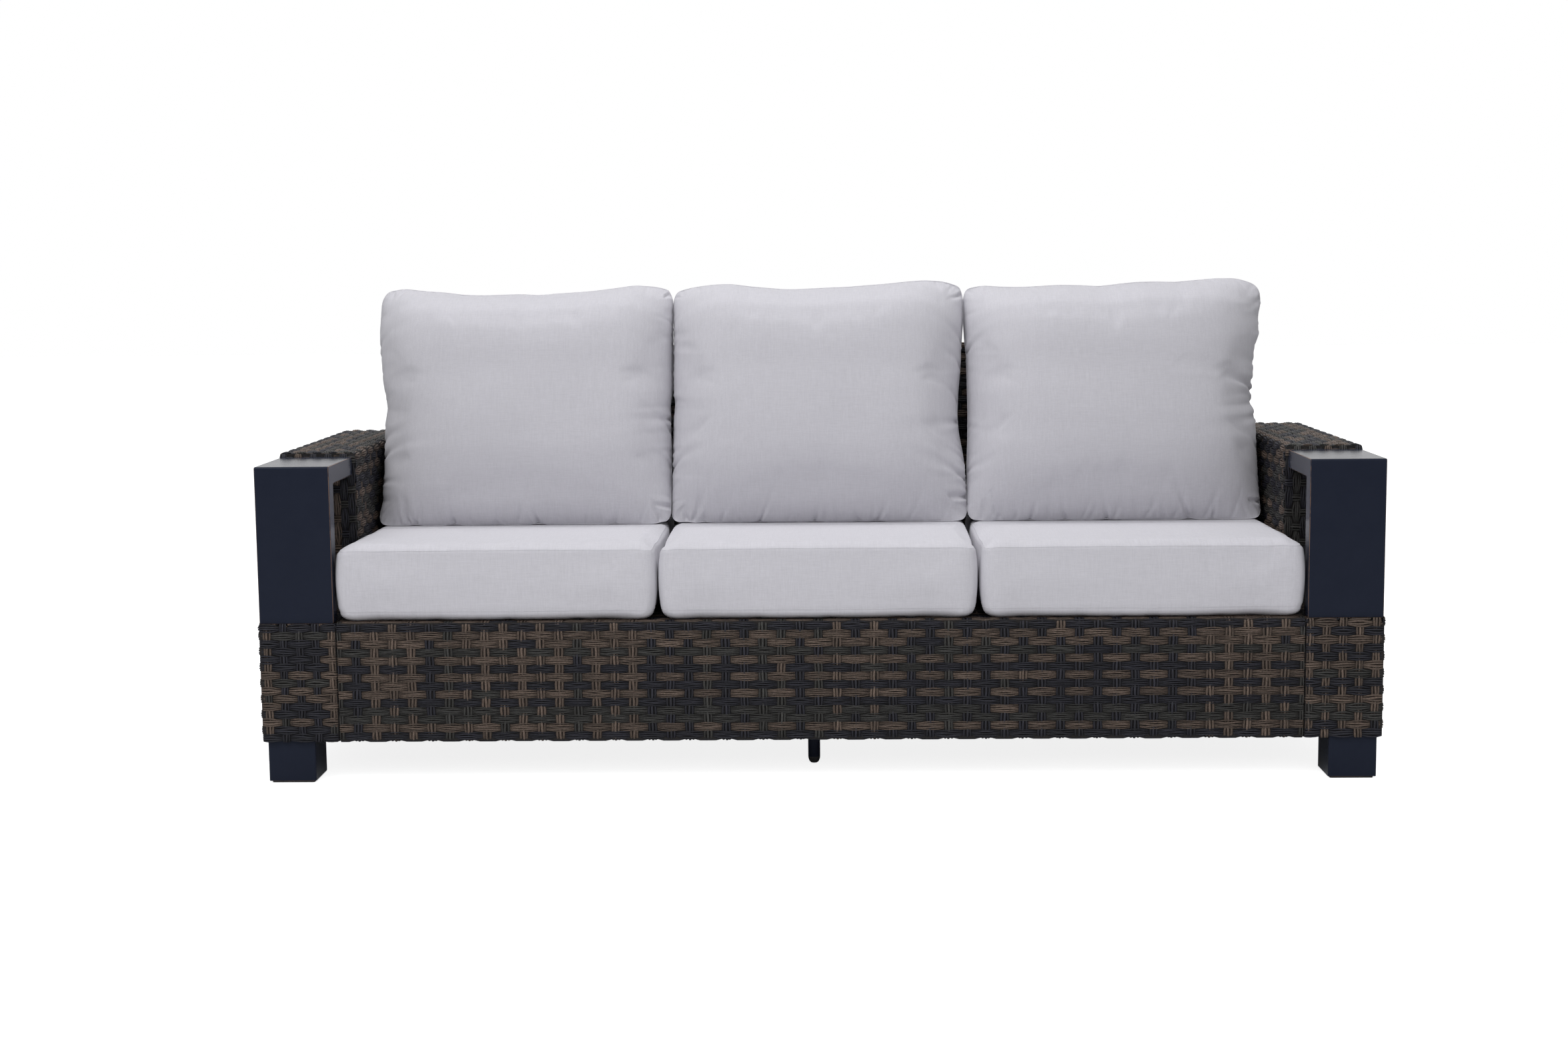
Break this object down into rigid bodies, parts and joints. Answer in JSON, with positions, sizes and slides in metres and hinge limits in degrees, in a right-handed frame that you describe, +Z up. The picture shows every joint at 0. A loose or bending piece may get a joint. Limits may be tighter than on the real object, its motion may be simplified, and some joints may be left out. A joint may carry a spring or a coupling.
{
  "type": "rattan garden sofa",
  "caption": "Woven garden sofa with dark metal arm caps that frame open windows, boxed linen seat cushions, leaning pillow backs and short square legs.",
  "frame": {"origin": "on the floor under the middle of the sofa's width and depth", "axes": "+X to the right of someone who looks at the sofa, +Y to its back, +Z up"},
  "size_m": [2.244, 0.824, 0.9814],
  "materials": {
    "cap_metal": "dark bronze powder coat with worn edges",
    "resin_weave": "mixed dark brown and charcoal resin rattan",
    "linen": "light grey slubbed linen",
    "tube_aluminium": "mill finish",
    "bolt_steel": "zinc plated",
    "glide_plastic": "black"
  },
  "bodies": {
    "frame": {"apron_bottom_rail": "tube_aluminium", "apron_stile_1": "tube_aluminium", "apron_stile_2": "tube_aluminium", "apron_stile_3": "tube_aluminium", "apron_stile_4": "tube_aluminium", "apron_weave": "resin_weave", "arm_bolt_1_left": "bolt_steel", "arm_bolt_1_right": "bolt_steel", "arm_bolt_2_left": "bolt_steel", "arm_bolt_2_right": "bolt_steel", "arm_cap_left": "cap_metal", "arm_cap_right": "cap_metal", "arm_frame_left": "tube_aluminium", "arm_frame_right": "tube_aluminium", "arm_weave_left": "resin_weave", "arm_weave_right": "resin_weave", "back_bolt_1": "bolt_steel", "back_bolt_2": "bolt_steel", "back_bolt_3": "bolt_steel", "back_bolt_4": "bolt_steel", "back_frame": "tube_aluminium", "back_weave": "resin_weave", "glide_front_left": "glide_plastic", "glide_front_right": "glide_plastic", "glide_rear_left": "glide_plastic", "glide_rear_right": "glide_plastic", "leg_front_left": "cap_metal", "leg_front_right": "cap_metal", "leg_rear_left": "cap_metal", "leg_rear_right": "cap_metal", "middle_foot": "glide_plastic", "middle_leg": "cap_metal", "seat_cross_tube_1": "tube_aluminium", "seat_cross_tube_2": "tube_aluminium", "seat_cross_tube_3": "tube_aluminium", "seat_cross_tube_4": "tube_aluminium", "seat_cross_tube_5": "tube_aluminium", "seat_deck_weave": "resin_weave", "seat_end_tube_left": "tube_aluminium", "seat_end_tube_right": "tube_aluminium", "seat_front_rail": "tube_aluminium", "seat_rear_rail": "tube_aluminium"},
    "back_cushion_left": {"back_cushion_left": "linen"},
    "back_cushion_middle": {"back_cushion_middle": "linen"},
    "back_cushion_right": {"back_cushion_right": "linen"},
    "seat_cushion_left": {"seat_cushion_left": "linen"},
    "seat_cushion_middle": {"seat_cushion_middle": "linen"},
    "seat_cushion_right": {"seat_cushion_right": "linen"}
  },
  "joints": [
    {"name": "back_cushion_left_lift", "type": "slide", "parent": "frame", "child": "back_cushion_left", "axis": [0, 0, 1], "range_m": [0, 0.45]},
    {"name": "back_cushion_middle_lift", "type": "slide", "parent": "frame", "child": "back_cushion_middle", "axis": [0, 0, 1], "range_m": [0, 0.45]},
    {"name": "back_cushion_right_lift", "type": "slide", "parent": "frame", "child": "back_cushion_right", "axis": [0, 0, 1], "range_m": [0, 0.45]},
    {"name": "seat_cushion_left_slide", "type": "slide", "parent": "frame", "child": "seat_cushion_left", "axis": [0, -1, 0], "range_m": [0, 0.6]},
    {"name": "seat_cushion_middle_slide", "type": "slide", "parent": "frame", "child": "seat_cushion_middle", "axis": [0, -1, 0], "range_m": [0, 0.6]},
    {"name": "seat_cushion_right_slide", "type": "slide", "parent": "frame", "child": "seat_cushion_right", "axis": [0, -1, 0], "range_m": [0, 0.6]}
  ]
}
